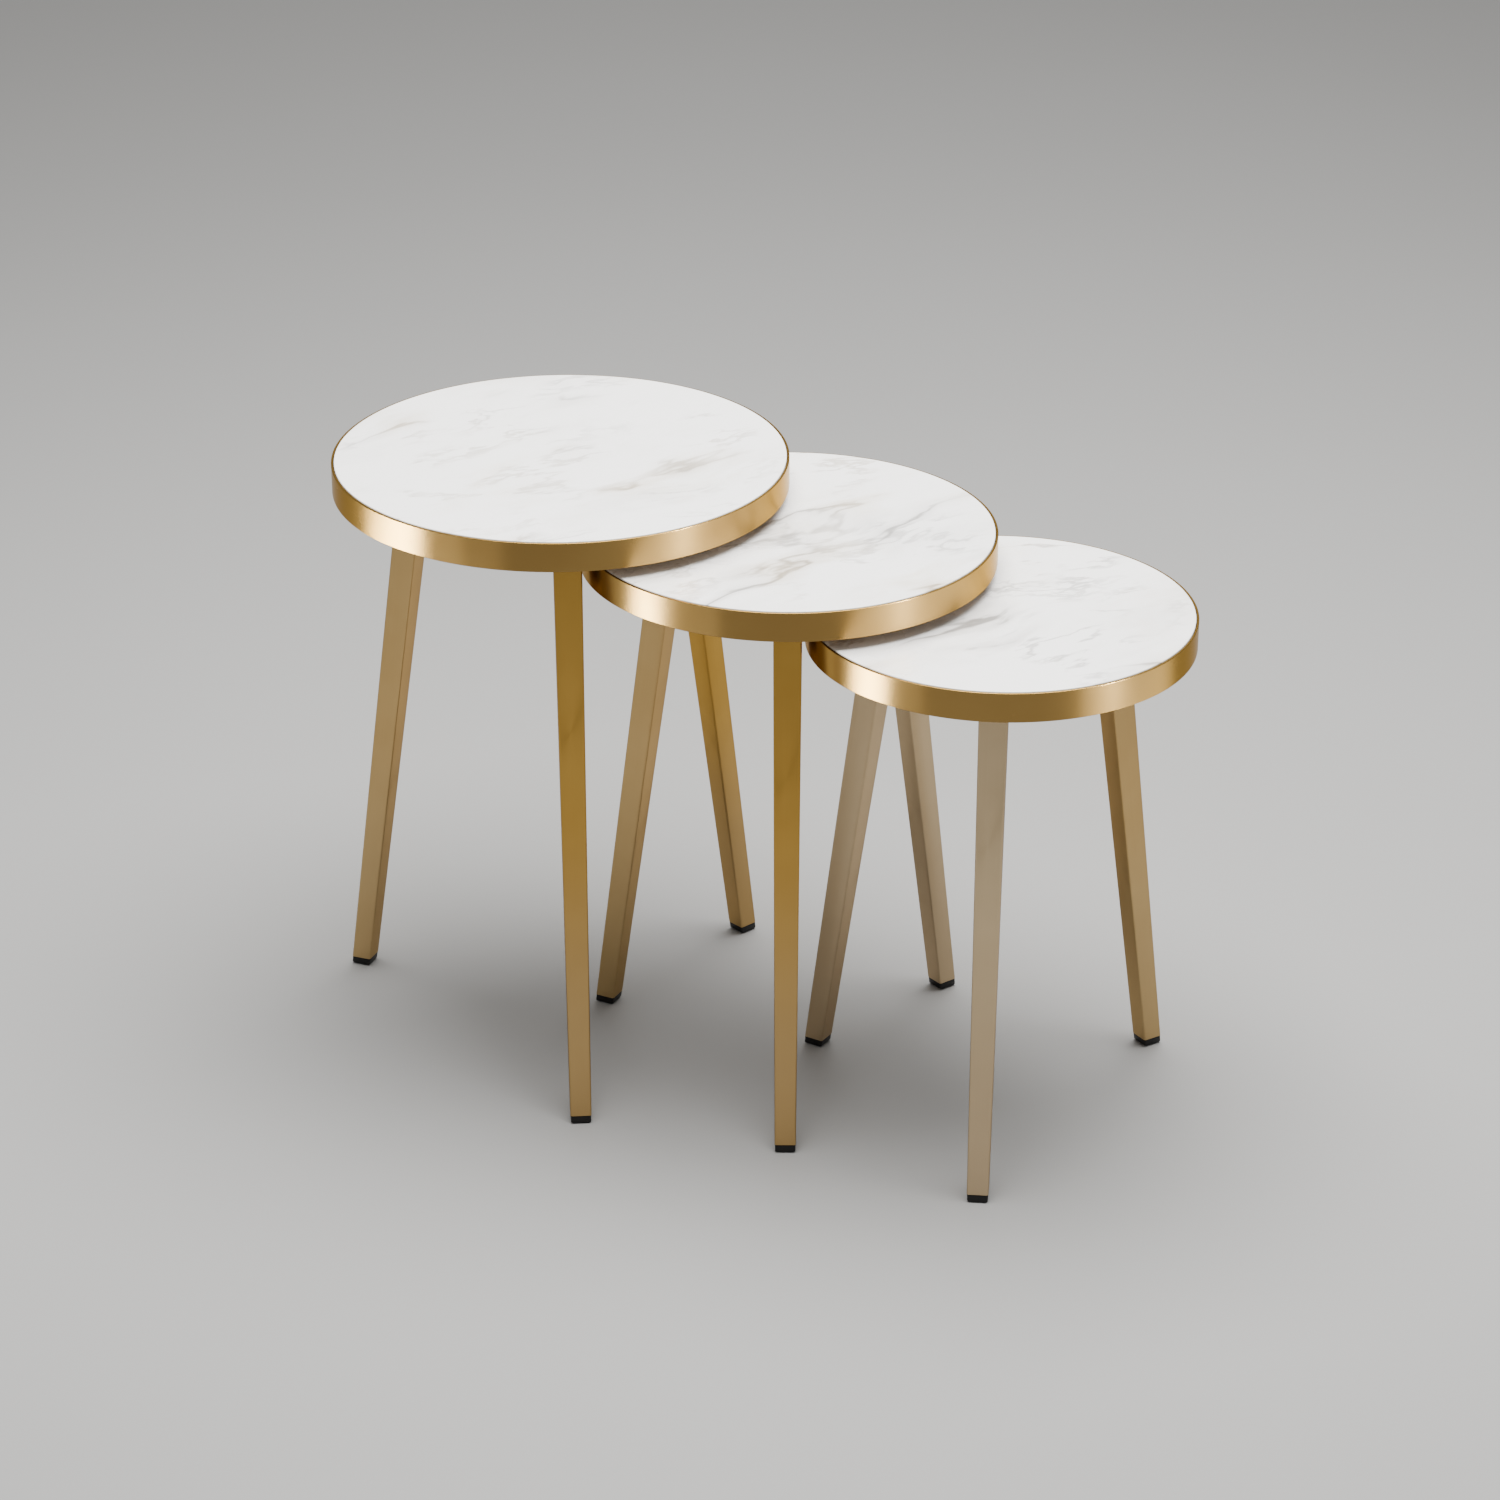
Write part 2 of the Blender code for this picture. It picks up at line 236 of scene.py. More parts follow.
class Finish:
    """One material, written as expressions on its node values."""

    def __init__(self, name):
        self.material = bpy.data.materials.new(name)
        self.material.use_nodes = True
        self.tree = self.material.node_tree
        self.tree.nodes.clear()

    def node(self, kind, settings=None, sockets=None, output=0):
        node = self.tree.nodes.new(kind)
        for key, value in (settings or {}).items():
            setattr(node, key, value)
        for key, value in (sockets or {}).items():
            if isinstance(value, Value):
                self.tree.links.new(value.socket, node.inputs[key])
            else:
                node.inputs[key].default_value = value
        return Value(self, node.outputs[output]) if node.outputs else None

    def place(self, scale=(1, 1, 1), shift=(0, 0, 0), along_leg=False):
        """The point on the piece in metres, scaled; along_leg lays Z along the leg."""
        if along_leg:
            point = self.node("ShaderNodeAttribute", {"attribute_name": LEG_PLACE}, output="Vector")
        else:
            point = self.node("ShaderNodeTexCoord", output="Object")
        return self.node("ShaderNodeMapping", {"vector_type": "POINT"}, {
            "Vector": point, "Location": shift, "Scale": scale})

    def along(self, vector, angle, scale):
        """The vector turned so that X runs at the angle, then scaled along its new axes."""
        turned_vector = self.node("ShaderNodeVectorRotate", {"rotation_type": "Z_AXIS"}, {
            "Vector": vector, "Angle": -angle})
        return self.node("ShaderNodeVectorMath", {"operation": "MULTIPLY"}, {
            0: turned_vector, 1: scale})

    def noise(self, vector, scale, detail=2.0, roughness=0.5, warp=0.0, output=0):
        return self.node("ShaderNodeTexNoise", None, {
            "Vector": vector, "Scale": scale, "Detail": detail, "Roughness": roughness,
            "Distortion": warp}, output)

    def warped(self, vector, scale, amount):
        """The vector pushed about by a colour noise."""
        push = self.noise(vector, scale, 2.0, output="Color")
        centred = self.node("ShaderNodeVectorMath", {"operation": "SUBTRACT"},
                            {0: push, 1: (0.5, 0.5, 0.5)})
        return self.node("ShaderNodeVectorMath", {"operation": "MULTIPLY_ADD"},
                         {0: centred, 1: (amount,) * 3, 2: vector})

    def blend(self, share, first, second):
        """first where share is 0, second where it is 1; colours are RGB."""
        sockets = {0: share}
        for key, value in ((6, first), (7, second)):
            sockets[key] = value if isinstance(value, Value) else (*value, 1.0)
        return self.node("ShaderNodeMix", {"data_type": "RGBA"}, sockets, output=2)

    def bump(self, height, strength, distance):
        return self.node("ShaderNodeBump", None, {
            "Height": height, "Strength": strength, "Distance": distance})

    def surface(self, **sockets):
        """Close the material with a Principled BSDF; keys are socket names with _."""
        named = {key.replace("_", " "): value for key, value in sockets.items()}
        for key, value in named.items():
            if key in ("Base Color", "Specular Tint") and not isinstance(value, Value):
                named[key] = (*value, 1.0)
        shader = self.node("ShaderNodeBsdfPrincipled", None, named)
        self.node("ShaderNodeOutputMaterial", None, {"Surface": shader})
        return self.material


# ---------------------------------------------------------------- finishes

def white_marble(name, shift, strength):
    """Honed white stone with sparse slanting veins, each a thin core in a soft halo."""
    finish = Finish(name)
    point = finish.place(shift=shift)
    bent = finish.warped(finish.warped(point, 4.0, 0.10), 18.0, 0.016)
    slant = finish.along(bent, VEIN_ANGLE, (3.2, 10.0, 1.0))
    ridge = abs(finish.noise(slant, 1.0, 5.0, 0.5) - 0.5)
    islands = finish.noise(finish.along(point, VEIN_ANGLE, (6.0, 9.0, 1.0)), 1.0, 1.5)
    shown = islands.ease(0.46, 0.64) * strength
    core = (1 - ridge.ease(0.0, 0.022)) * shown
    halo = (1 - ridge.ease(0.0, 0.095)) * shown

    wisps = finish.along(finish.warped(bent, 30.0, 0.008), VEIN_ANGLE - 0.25, (9.0, 24.0, 1.0))
    thread = abs(finish.noise(wisps, 1.0, 4.0, 0.6) - 0.5)
    flecks = finish.noise(finish.along(point, VEIN_ANGLE, (11.0, 16.0, 1.0)), 1.0, 1.0)
    faint = (1 - thread.ease(0.0, 0.04)) * flecks.ease(0.46, 0.66) * strength
    cloud = finish.noise(finish.along(bent, VEIN_ANGLE, (6.0, 12.0, 1.0)), 1.0, 4.0, 0.6)

    tint = finish.noise(point, 7.0, 1.0).ease(0.35, 0.65)
    mist = finish.blend(tint, GREY_MIST, WARM_MIST)
    vein = finish.blend(tint, GREY_VEIN, WARM_VEIN)
    body = finish.blend(cloud.ease(0.46, 0.78) * 0.5, WHITE_STONE, mist)
    body = finish.blend(halo * 0.75, body, mist)
    body = finish.blend(faint * 0.42, body, vein)
    body = finish.blend(core * 0.75, body, vein)
    polish = finish.noise(point, 40.0, 3.0) * 0.07 + 0.24
    return finish.surface(
        Base_Color=body, Roughness=polish + halo * 0.04, IOR=1.5,
        Normal=finish.bump(finish.noise(point, 220.0, 3.0), 0.05, 0.0002))


def satin_gold(name, colour, shade, edge, roughness, lines, foot=None):
    """Plated steel; lines is its brushing, edge its glancing colour, foot the paler tint low on a
    leg, a painted reflection of the floor.
    """
    finish = Finish(name)
    wear = finish.noise(finish.place(), 9.0, 3.0, 0.6)
    smear = finish.noise(finish.place(), 38.0, 3.0, 0.6, warp=0.4)
    scale, along_leg, depth = lines
    brushed = finish.noise(finish.place(scale=scale, along_leg=along_leg), 1.0, 4.0, 0.65)
    tone = (brushed - 0.5) * 4 * depth + wear.ease(0.3, 0.7) * 0.6
    plating = finish.blend(tone, colour, shade)
    # Painted reflection of the pale floor: the plating pales towards the foot tint low on the leg.
    if foot is not None:
        up_the_leg = finish.node("ShaderNodeSeparateXYZ", None,
                                 {"Vector": finish.place(along_leg=True)}, 2)
        plating = finish.blend((1 - up_the_leg.ease(*FLOOR_REFLECTION_HEIGHTS)) * FLOOR_REFLECTION_SHARE, plating, foot)
    return finish.surface(
        Base_Color=plating, Metallic=1.0, Specular_Tint=edge,
        Roughness=(brushed - 0.5) * depth + (smear - 0.5) * depth + roughness,
        Anisotropic=BRUSHED_SPREAD, Anisotropic_Rotation=BRUSHED_TURN,
        Normal=finish.bump(brushed, depth * 0.5, 0.0001))


def moulded_plastic(name, colour):
    """Fine-grained black plastic with a little scuffing."""
    finish = Finish(name)
    grain = finish.noise(finish.place(), 1500.0, 3.0, 0.6)
    scuff = finish.noise(finish.place(), 180.0, 4.0, 0.65).ease(0.45, 0.75)
    worn = tuple(3 * part for part in colour)
    return finish.surface(
        Base_Color=finish.blend(scuff * 0.5, colour, worn), Specular_IOR_Level=0.3,
        Roughness=scuff * 0.15 + 0.40, Normal=finish.bump(grain, 0.2, 0.0001))


def raw_fibreboard(name):
    """Pressed wood fibre: speckle of pale and dark fibres with a sealed sheen."""
    finish = Finish(name)
    fibres = finish.noise(finish.place(scale=(1.0, 3.0, 1.0)), 420.0, 5.0, 0.7)
    crossed = finish.noise(finish.place(scale=(3.0, 1.0, 1.0)), 380.0, 5.0, 0.7)
    mottle = finish.noise(finish.place(), 14.0, 3.0)
    speckle = (fibres + crossed) * 0.5
    tan = finish.blend(mottle, (0.36, 0.25, 0.155), (0.27, 0.18, 0.105))
    return finish.surface(
        Base_Color=finish.blend(speckle.ease(0.52, 0.66), tan, (0.16, 0.10, 0.06)),
        Roughness=speckle * 0.2 + 0.65, Normal=finish.bump(speckle, 0.35, 0.0003))


def bright_zinc(name):
    finish = Finish(name)
    spin = finish.noise(finish.place(), 900.0, 3.0)
    return finish.surface(
        Base_Color=finish.blend(spin, (0.56, 0.56, 0.57), (0.44, 0.45, 0.47)),
        Metallic=1.0, Roughness=spin * 0.2 + 0.2)


def studio_grey(name):
    finish = Finish(name)
    uneven = finish.noise(finish.place(), 0.6, 3.0)
    return finish.surface(
        Base_Color=finish.blend(uneven, *FLOOR_GREYS),
        Roughness=0.75, Specular_IOR_Level=0.25)


# --------------------------------------------------------------- mesh tools

def add_piece(name, shape, material, body, leg=None):
    """A finished piece from a bmesh; a piece of a leg also keeps its place on the leg."""
    mesh = bpy.data.meshes.new(name)
    bmesh.ops.recalc_face_normals(shape, faces=shape.faces)
    shape.to_mesh(mesh)
    shape.free()
    mesh.materials.append(material)
    mesh.shade_smooth()
    mesh.set_sharp_from_angle(angle=SMOOTH_ANGLE)
    piece = bpy.data.objects.new(name, mesh)
    bpy.context.scene.collection.objects.link(piece)
    if leg is not None:
        keep_leg_place(mesh, leg)
    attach(piece, body)
    return piece


def keep_leg_place(mesh, leg):
    """Store each vertex's place in the leg's own frame, where Z runs up the leg."""
    inward = leg.own_frame().inverted()
    places = mesh.attributes.new(LEG_PLACE, "FLOAT_VECTOR", "POINT")
    for vertex, place in zip(mesh.vertices, places.data):
        place.vector = inward @ vertex.co


def rounded(corners, closed=False):
    """Outline points from (radius, height, fillet) corners, each fillet an arc.

    A support point stands just outside each end of an arc, so that the flats
    beside it stay flat when they are shaded smooth.
    """
    outline = []
    count = len(corners)
    for index, (across, up, fillet) in enumerate(corners):
        here = Vector((across, up))
        ends = not closed and index in (0, count - 1)
        if fillet == 0 or ends:
            outline.append(here)
            continue
        before = (Vector(corners[index - 1][:2]) - here).normalized()
        after = (Vector(corners[(index + 1) % count][:2]) - here).normalized()
        half = before.angle(after) / 2
        run = fillet / math.tan(half)
        centre = here + (before + after).normalized() * (fillet / math.sin(half))
        start = here + before * run - centre
        sweep = math.pi - 2 * half
        side = 1 if start.x * after.y - start.y * after.x > 0 else -1
        outline.append(here + before * run * FILLET_SUPPORT)
        for step in range(FILLET_STEPS + 1):
            turn = Matrix.Rotation(side * sweep * step / FILLET_STEPS, 2)
            outline.append(centre + turn @ start)
        outline.append(here + after * run * FILLET_SUPPORT)
    return outline


def join_rings(shape, rings, closed):
    """Faces between neighbouring rings of vertices; a ring of one is a pole."""
    pairs = list(zip(rings, rings[1:]))
    if closed:
        pairs.append((rings[-1], rings[0]))
    for low, high in pairs:
        count = max(len(low), len(high))
        for step in range(count):
            after = (step + 1) % count
            corners = [low[step % len(low)], low[after % len(low)],
                       high[after % len(high)], high[step % len(high)]]
            face = list(dict.fromkeys(corners))
            if len(face) > 2:
                shape.faces.new(face)


def turned(outline, steps, centre, closed=False):
    """A bmesh turned about the upright axis through centre = (x, y)."""
    shape = bmesh.new()
    rings = []
    for across, up in outline:
        count = 1 if across < ON_AXIS else steps
        rings.append([
            shape.verts.new((centre[0] + across * math.cos(math.tau * step / count),
                             centre[1] + across * math.sin(math.tau * step / count), up))
            for step in range(count)])
    join_rings(shape, rings, closed)
    return shape


def square_ring(half, corner):
    """Points round a square of the given half width with rounded corners."""
    points = []
    for quarter in range(4):
        angle = math.pi / 4 + quarter * math.pi / 2
        middle = Vector((math.cos(angle), math.sin(angle))) * math.sqrt(2) * (half - corner)
        for step in range(FILLET_STEPS + 1):
            reach = quarter * math.pi / 2 + math.pi / 2 * step / FILLET_STEPS
            points.append(middle + corner * Vector((math.cos(reach), math.sin(reach))))
    return points


def cut_away(piece, cutters):
    """Carry out the Boolean differences on a piece, drop slivers and remove the cutters."""
    for cutter in cutters:
        boolean = piece.modifiers.new("cut", "BOOLEAN")
        boolean.operation = "DIFFERENCE"
        boolean.solver = "EXACT"
        boolean.object = cutter
    depsgraph = bpy.context.evaluated_depsgraph_get()
    mesh = bpy.data.meshes.new_from_object(piece.evaluated_get(depsgraph))
    piece.modifiers.clear()
    piece.data = mesh
    shape = bmesh.new()
    shape.from_mesh(mesh)
    bmesh.ops.remove_doubles(shape, verts=shape.verts, dist=SLIVER)
    bmesh.ops.dissolve_degenerate(shape, edges=shape.edges, dist=SLIVER)
    shape.to_mesh(mesh)
    shape.free()
    mesh.set_sharp_from_angle(angle=SMOOTH_ANGLE)
    for cutter in cutters:
        bpy.data.objects.remove(cutter)


def cutter_from(shape):
    mesh = bpy.data.meshes.new("cutter")
    shape.to_mesh(mesh)
    shape.free()
    cutter = bpy.data.objects.new("cutter", mesh)
    bpy.context.scene.collection.objects.link(cutter)
    return cutter


# ------------------------------------------------------------------ the frame

def middle_of(node):
    low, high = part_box(node)
    return (low + high) / 2


def lowest_ring_centre(node):
    """Middle of the vertices at a node's lowest level."""
    points = [vert.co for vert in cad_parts[node].data.vertices]
    floor = min(point.z for point in points)
    low = [point for point in points if point.z < floor + ON_LEVEL]
    return sum(low, Vector()) / len(low)


class Leg:
    """Where one leg stands, read from the frame."""

    def __init__(self, table, side):
        self.name = f"{table}_leg_{side}"
        self.foot_name = f"{table}_foot_{side}"
        self.screw_names = [f"{table}_screw_{side}_{index + 1}" for index in range(SCREWS_PER_LEG)]
        self.axis = middle_of(f"{table}_rim_band")
        self.low = lowest_ring_centre(self.name)
        self.floor = lowest_ring_centre(self.foot_name)
        screws = [middle_of(name) for name in self.screw_names]
        self.plate_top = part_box(self.name)[1].z
        self.plate_bottom = self.plate_top - PLATE_THICKNESS
        plate = sum(screws, Vector()) / len(screws)
        self.high = Vector((plate.x, plate.y, self.plate_bottom))
        head_low, head_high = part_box(self.screw_names[0])
        self.head_radius = (head_high.x - head_low.x) / 2
        self.plate_radius = (screws[0] - plate).to_2d().length + PLATE_EDGE + self.head_radius
        outward = (self.low - self.axis).to_2d().normalized()
        self.angle = math.atan2(outward.y, outward.x)

    def centre(self, z):
        share = (z - self.low.z) / (self.high.z - self.low.z)
        return self.low.lerp(self.high, share)

    def half_width(self, z):
        share = (z - self.low.z) / (self.high.z - self.low.z)
        return (LEG_END_WIDTH + (LEG_TOP_WIDTH - LEG_END_WIDTH) * share) / 2

    def own_frame(self):
        """Frame at the floor with Z up the leg and X outwards."""
        up = (self.high - self.low).normalized()
        across = Vector((-math.sin(self.angle), math.cos(self.angle), 0))
        out = across.cross(up).normalized()
        rows = Matrix((out, across, up)).transposed().to_4x4()
        return Matrix.Translation(self.floor) @ rows

    def ring(self, shape, z, half, corner):
        """A level ring of vertices round the leg's axis, its sides facing outwards."""
        spin = Matrix.Rotation(self.angle, 2)
        middle = self.centre(z)
        ring = []
        for point in square_ring(half, corner):
            turned_point = spin @ point
            ring.append(shape.verts.new((middle.x + turned_point.x, middle.y + turned_point.y, z)))
        return ring


# ------------------------------------------------------------------ the pieces

def make_marble_top(table, material):
    low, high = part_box(f"{table}_marble_top")
    radius = (high.x - low.x) / 2
    centre = ((low.x + high.x) / 2, (low.y + high.y) / 2)
    outline = rounded([
        (0, high.z, 0),
        (radius, high.z, STONE_FILLET),
        (radius, low.z, STONE_FOOT_FILLET),
        (0, low.z, 0),
    ])
    stone = add_piece(f"{table}_marble_disc", turned(outline, DISC_STEPS, centre), material,
                      f"{table}_table")
    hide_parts(f"{table}_marble_top")


def make_band(table, material):
    low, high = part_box(f"{table}_rim_band")
    radius = (high.x - low.x) / 2
    centre = ((low.x + high.x) / 2, (low.y + high.y) / 2)
    outline = rounded([
        (radius, high.z, BAND_FILLET),
        (radius, low.z, BAND_FILLET),
        (radius - BAND_WALL, low.z, BAND_FILLET),
        (radius - BAND_WALL, high.z, BAND_FILLET),
    ], closed=True)
    shape = turned(outline, DISC_STEPS, centre, closed=True)
    band = add_piece(f"{table}_gold_band", shape, material, f"{table}_table")
    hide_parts(f"{table}_rim_band")
    return band


def make_leg(table, leg, material):
    body = f"{table}_table"
    shape = bmesh.new()
    low, high = leg.low.z, leg.plate_bottom
    levels = [low + LEG_LIP]
    levels += [low + (high - low) * (step + 1) / LEG_SPANS for step in range(LEG_SPANS)]
    rings = [leg.ring(shape, z, leg.half_width(z), LEG_CORNER) for z in levels]
    rings += [leg.ring(shape, z, leg.half_width(z) - LEG_WALL, BORE_CORNER)
              for z in reversed(levels)]
    rings.append(leg.ring(shape, low, leg.half_width(low) - LEG_WALL + LEG_LIP, BORE_CORNER))
    rings.append(leg.ring(shape, low, leg.half_width(low) - LEG_LIP, LEG_CORNER))
    join_rings(shape, rings, closed=True)
    tube = add_piece(f"{leg.name}_tube", shape, material, body, leg)
    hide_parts(leg.name)

    centre = leg.centre(high)
    outline = rounded([
        (0, leg.plate_top, 0),
        (leg.plate_radius, leg.plate_top, PLATE_FILLET),
        (leg.plate_radius, high, PLATE_FILLET),
        (0, high, 0),
    ])
    plate = add_piece(f"{leg.name}_plate", turned(outline, PLATE_STEPS, centre), material, body)
    holes = bmesh.new()
    for name in leg.screw_names:
        spot = middle_of(name)
        place = Matrix.Translation((spot.x, spot.y, leg.plate_top))
        bmesh.ops.create_cone(
            holes, cap_ends=True, segments=SCREW_STEPS, radius1=SHANK_RADIUS + FIT_GAP,
            radius2=SHANK_RADIUS + FIT_GAP, depth=4 * PLATE_THICKNESS, matrix=place)
    cut_away(plate, [cutter_from(holes)])
    keep_leg_place(plate.data, leg)
    make_weld(leg, material, body)


def make_weld(leg, material, body):
    """Rippled bead where the tube meets its plate, all the way round."""
    shape = bmesh.new()
    top = leg.plate_bottom
    half = leg.half_width(top)
    spin = Matrix.Rotation(leg.angle, 2)
    middle = leg.centre(top)
    corner = LEG_CORNER + WELD_RADIUS * WELD_BEND
    sections = []
    for step in range(WELD_STEPS):
        share = step / WELD_STEPS
        swell = WELD_RADIUS * (1 + WELD_RIPPLE * math.sin(math.tau * WELD_RIPPLES * share))
        path, outward = square_path(half, corner, share)
        section = []
        for angle in WELD_ARC:
            reach = math.radians(angle)
            flat = path + outward * (swell * math.cos(reach))
            point = spin @ flat
            section.append(shape.verts.new((middle.x + point.x, middle.y + point.y,
                                            top - swell * math.sin(reach))))
        inner = spin @ (path - outward * (LEG_WALL / 2))
        for depth in (swell * WELD_ROOT, 0.0):
            section.append(shape.verts.new((middle.x + inner.x, middle.y + inner.y, top - depth)))
        sections.append(section)
    join_rings(shape, sections, closed=True)
    add_piece(f"{leg.name}_weld", shape, material, body, leg)


def square_path(half, corner, share):
    """Point and outward direction a share of the way round a rounded square."""
    straight = 2 * (half - corner)
    bend = corner * math.pi / 2
    side_length = straight + bend
    along = share * 4 * side_length
    side = min(3, int(along // side_length))
    along -= side * side_length
    if along < straight:
        point = Vector((half, along - straight / 2))
        outward = Vector((1, 0))
    else:
        reach = (along - straight) / corner
        outward = Vector((math.cos(reach), math.sin(reach)))
        point = Vector((half - corner, straight / 2)) + corner * outward
    spin = Matrix.Rotation(side * math.pi / 2, 2)
    return spin @ point, spin @ outward


def make_foot(table, leg, material):
    """Chamfered foot and the finned plug that holds it in the tube."""
    shape = bmesh.new()
    sill = leg.low.z - FIT_GAP
    plug_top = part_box(leg.foot_name)[1].z
    base = leg.half_width(0) - FOOT_SETBACK
    shoulder = leg.half_width(sill) - FOOT_SETBACK
    grip = leg.half_width(sill) - LEG_WALL - FIT_GAP
    stem = grip - PLUG_FIN
    levels = [
        (0.0, base - FOOT_CHAMFER - 2 * FOOT_EASE),
        (FOOT_EASE, base - FOOT_CHAMFER),
        (FOOT_CHAMFER, base - FOOT_EASE),
        (FOOT_CHAMFER + 2 * FOOT_EASE, base),
        (sill - FOOT_EASE, shoulder),
        (sill, shoulder - FOOT_EASE),
        (sill, stem),
    ]
    pitch = (plug_top - sill) / (2 * PLUG_FINS + 1)
    rise, crest, fall = (pitch * share for share in FIN_SHARES)
    for fin in range(PLUG_FINS):
        start = sill + pitch * (2 * fin + 1)
        levels += [(start, stem), (start + rise, grip), (start + crest, grip), (start + fall, stem)]
    levels.append((plug_top, stem))
    rings = [leg.ring(shape, z, half, FOOT_FILLET) for z, half in levels]
    join_rings(shape, rings, closed=False)
    shape.faces.new(rings[0])
    shape.faces.new(rings[-1])
    foot = add_piece(f"{leg.foot_name}_cap", shape, material, f"{table}_table")
    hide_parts(leg.foot_name)


def make_screws(table, leg, material):
    """Pan heads with a cross recess; the thread bites into the core board."""
    for name in leg.screw_names:
        low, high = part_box(name)
        spot = middle_of(name)
        seat = leg.plate_bottom - FIT_GAP
        tip = high.z
        root = SHANK_RADIUS - THREAD_DEPTH
        outline = [Vector((0, tip)), Vector((SHANK_RADIUS * POINT_SHARE, tip - POINT_LENGTH))]
        z = tip - THREAD_START
        while z > leg.plate_top + 2 * THREAD_PITCH:
            outline.append(Vector((SHANK_RADIUS, z)))
            outline.append(Vector((root, z - THREAD_PITCH / 2)))
            z -= THREAD_PITCH
        outline += [Vector((root, leg.plate_top + THREAD_PITCH)), Vector((root, seat))]
        head = rounded([
            (SHANK_RADIUS, seat, 0),
            (leg.head_radius, seat, HEAD_UNDERCUT),
            (leg.head_radius, low.z, HEAD_FILLET),
            (0, low.z, 0),
        ])
        shape = turned(outline + head, SCREW_STEPS, spot)
        screw = add_piece(f"{name}_pan_head", shape, material, f"{table}_table")
        cutters = []
        for angle in (0, math.pi / 2):
            slot = bmesh.new()
            size = Matrix.Diagonal((RECESS_LENGTH, RECESS_WIDTH, 2 * RECESS_DEPTH, 1))
            place = Matrix.Translation((spot.x, spot.y, low.z))
            turn = Matrix.Rotation(angle + leg.angle, 4, "Z")
            bmesh.ops.create_cube(slot, size=1, matrix=place @ turn @ size)
            cutters.append(cutter_from(slot))
        cut_away(screw, cutters)
        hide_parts(name)


# ---------------------------------------------------------------- the studio

def aim(thing, target):
    direction = Vector(target) - thing.location
    thing.rotation_euler = direction.to_track_quat("-Z", "Y").to_euler()


def area_lamp(name, place, size, power, spread=180):
    """A rectangular lamp, seen in reflections only; spread is its beam in degrees."""
    light = bpy.data.lights.new(name, "AREA")
    light.shape = "RECTANGLE"
    light.size, light.size_y = size
    light.energy = power
    light.spread = math.radians(spread)
    lamp = bpy.data.objects.new(name, light)
    lamp.location = seen_from_camera(*place)
    lamp.visible_camera = False
    bpy.context.scene.collection.objects.link(lamp)
    return lamp


def seen_from_camera(right, away, height):
    """A point from its distances to the right of the set's middle and away from the viewer."""
    across = Vector((math.cos(CAMERA_AZIMUTH), math.sin(CAMERA_AZIMUTH), 0))
    depth = Vector((-math.sin(CAMERA_AZIMUTH), math.cos(CAMERA_AZIMUTH), 0))
    return right * across + away * depth + Vector((0, 0, height))


def softbox(name, place, target, *lamp_settings):
    """A lamp aimed at a target."""
    lamp = area_lamp(name, place, *lamp_settings)
    aim(lamp, seen_from_camera(*target))
    return lamp


def floor_card(name, right, away, size, power):
    """A glowing card lying face up on the floor, which only the metal picks up."""
    lamp = area_lamp(name, (right, away, CARD_LIFT), size, power)
    lamp.rotation_euler = (math.pi, 0, -CAMERA_AZIMUTH)
    return lamp


def make_studio():
    floor = bpy.data.meshes.new("studio_floor")
    shape = bmesh.new()
    bmesh.ops.create_grid(shape, x_segments=1, y_segments=1, size=FLOOR_SIZE / 2)
    shape.to_mesh(floor)
    shape.free()
    floor.materials.append(studio_grey("studio_grey"))
    ground = bpy.data.objects.new("studio_floor", floor)
    bpy.context.scene.collection.objects.link(ground)

    world = bpy.data.worlds.new("studio_air")
    world.use_nodes = True
    background = world.node_tree.nodes["Background"]
    background.inputs["Color"].default_value = AIR_COLOUR
    background.inputs["Strength"].default_value = AIR_STRENGTH
    bpy.context.scene.world = world

    softbox("overhead", *OVERHEAD)
    softbox("back_wash", *BACK_WASH)


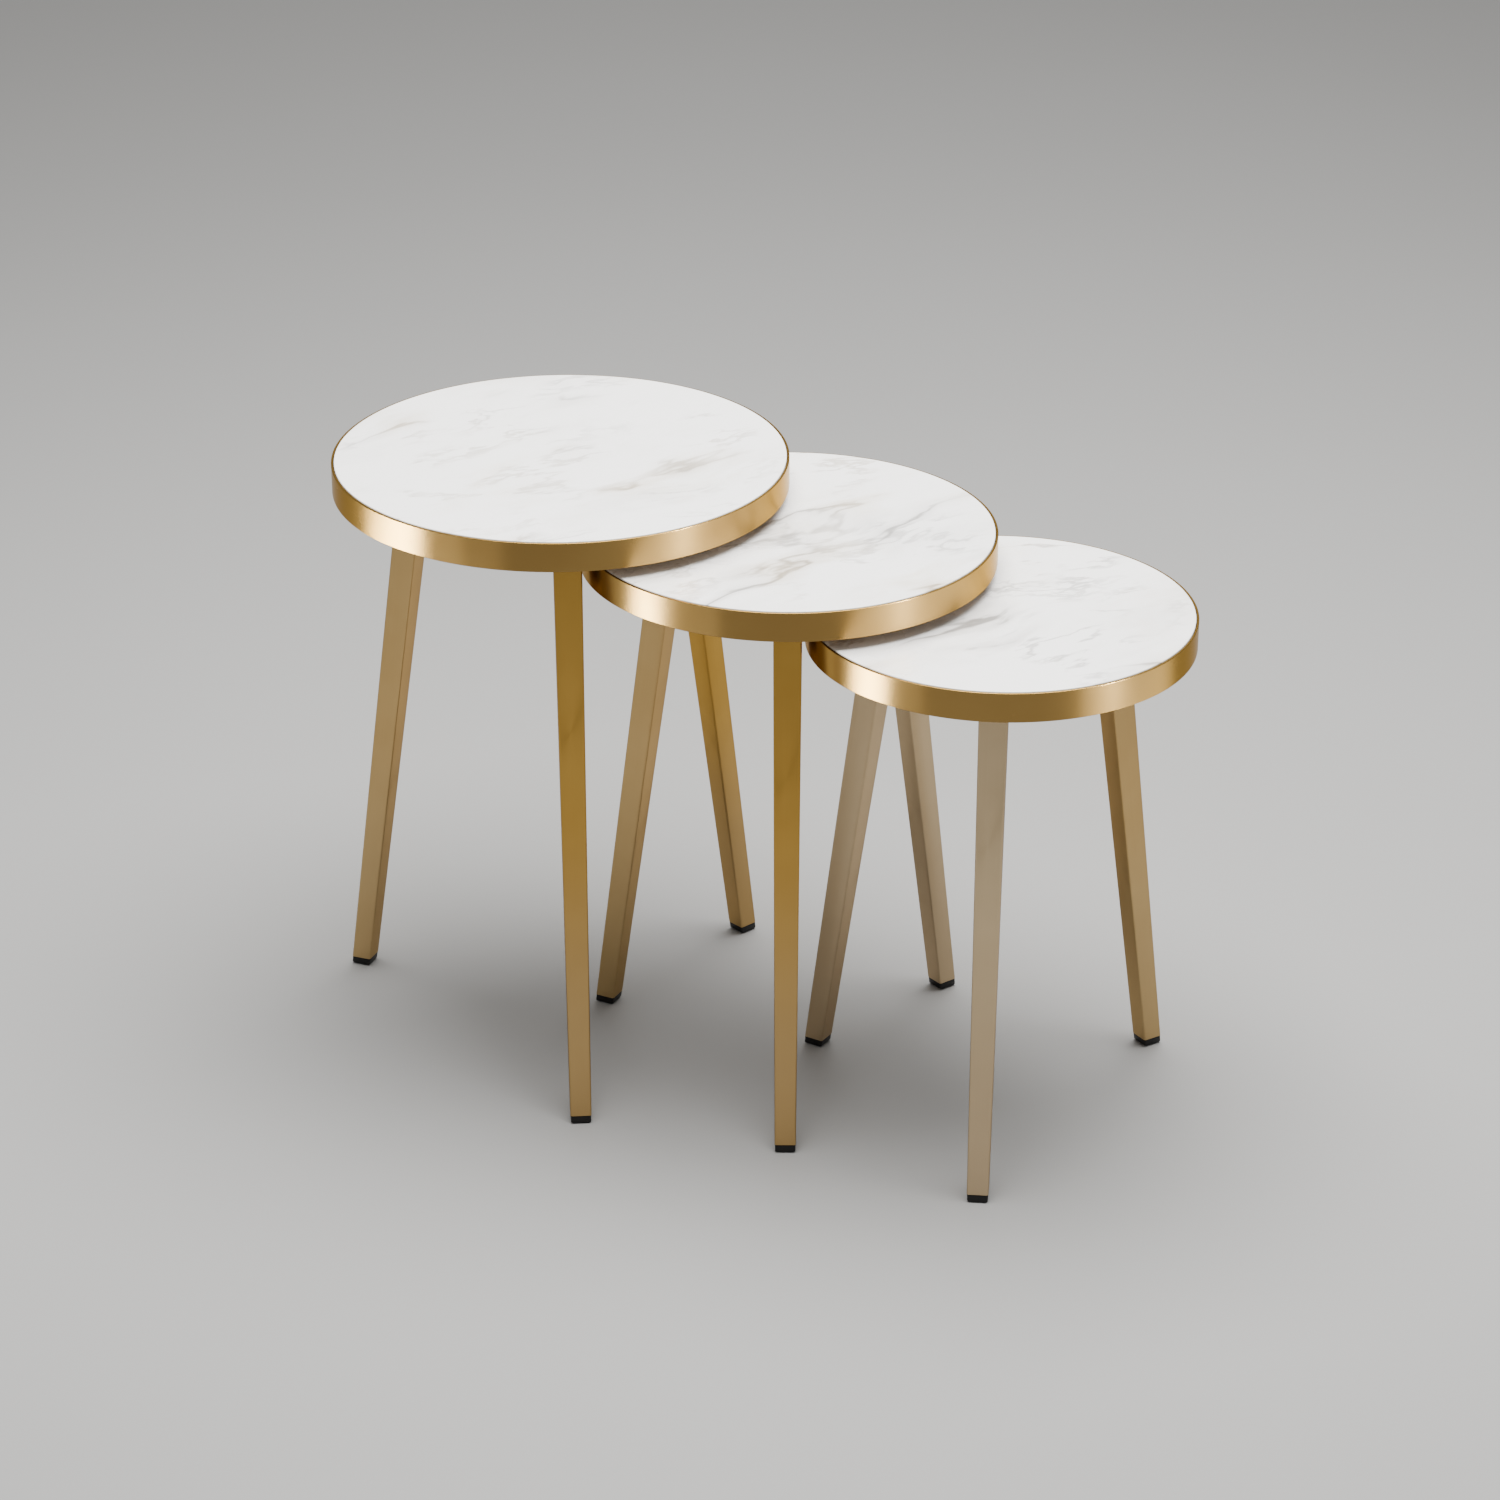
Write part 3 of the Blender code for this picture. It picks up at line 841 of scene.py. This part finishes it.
def light_bands(bands):
    """Lamps that only the bands pick up, for the bright streaks down their sides."""
    shared_lamps = [softbox("right_strip", *RIGHT_STRIP)]
    shared_lamps += [floor_card(name, *card) for name, card in SHARED_CARDS.items()]
    light_only(shared_lamps, "gold_bands", list(bands.values()))
    for table, band in bands.items():
        cards = [floor_card(f"{table}_card_{index + 1}", *card)
                 for index, card in enumerate(BAND_CARDS[table])]
        light_only(cards, f"{table}_gold_band_only", [band])


def light_only(lamps, name, pieces):
    """Keep the lamps' light to the given pieces."""
    receivers = bpy.data.collections.new(name)
    for piece in pieces:
        receivers.objects.link(piece)
    for lamp in lamps:
        lamp.light_linking.receiver_collection = receivers


def make_camera():
    camera = bpy.data.cameras.new("view")
    camera.lens = CAMERA_LENS
    camera.sensor_width = SENSOR
    viewer = bpy.data.objects.new("view", camera)
    level = math.cos(CAMERA_PITCH)
    look = Vector((-math.sin(CAMERA_AZIMUTH) * level, math.cos(CAMERA_AZIMUTH) * level,
                   -math.sin(CAMERA_PITCH)))
    viewer.location = Vector(CAMERA_AIM) - look * CAMERA_DISTANCE
    bpy.context.scene.collection.objects.link(viewer)
    aim(viewer, CAMERA_AIM)
    bpy.context.scene.camera = viewer


# ------------------------------------------------------------------- assembly

def main():
    marbles = {table: white_marble(f"{table}_white_marble", *MARBLES[table]) for table in TABLES}
    band_gold = satin_gold("band_satin_gold", **BAND_GOLD)
    leg_gold = satin_gold("leg_satin_gold", **LEG_GOLD)
    painted_light_gold = satin_gold("leg_painted_light_gold", **PAINTED_LIGHT_GOLD)
    painted_palest = satin_gold("leg_painted_palest_gold", **PAINTED_PALEST_GOLD)
    # Painted light: some legs get the lighter copies of the leg gold.
    painted_leg_golds = {name: painted_light_gold for name in PAINTED_LIGHT_GOLD_LEGS}
    painted_leg_golds.update({name: painted_palest for name in PAINTED_PALEST_GOLD_LEGS})
    plastic = moulded_plastic("black_foot_plastic", FOOT_BLACK)
    fibreboard = raw_fibreboard("core_fibreboard")
    zinc = bright_zinc("screw_zinc")
    bands = {}
    for table in TABLES:
        make_marble_top(table, marbles[table])
        bands[table] = make_band(table, band_gold)
        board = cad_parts[f"{table}_core_board"]
        board.data.materials.clear()
        board.data.materials.append(fibreboard)
        for side in SIDES:
            leg = Leg(table, side)
            make_leg(table, leg, painted_leg_golds.get(leg.name, leg_gold))
            make_foot(table, leg, plastic)
            make_screws(table, leg, zinc)
    make_studio()
    light_bands(bands)
    make_camera()


main()
bpy.context.view_layer.update()
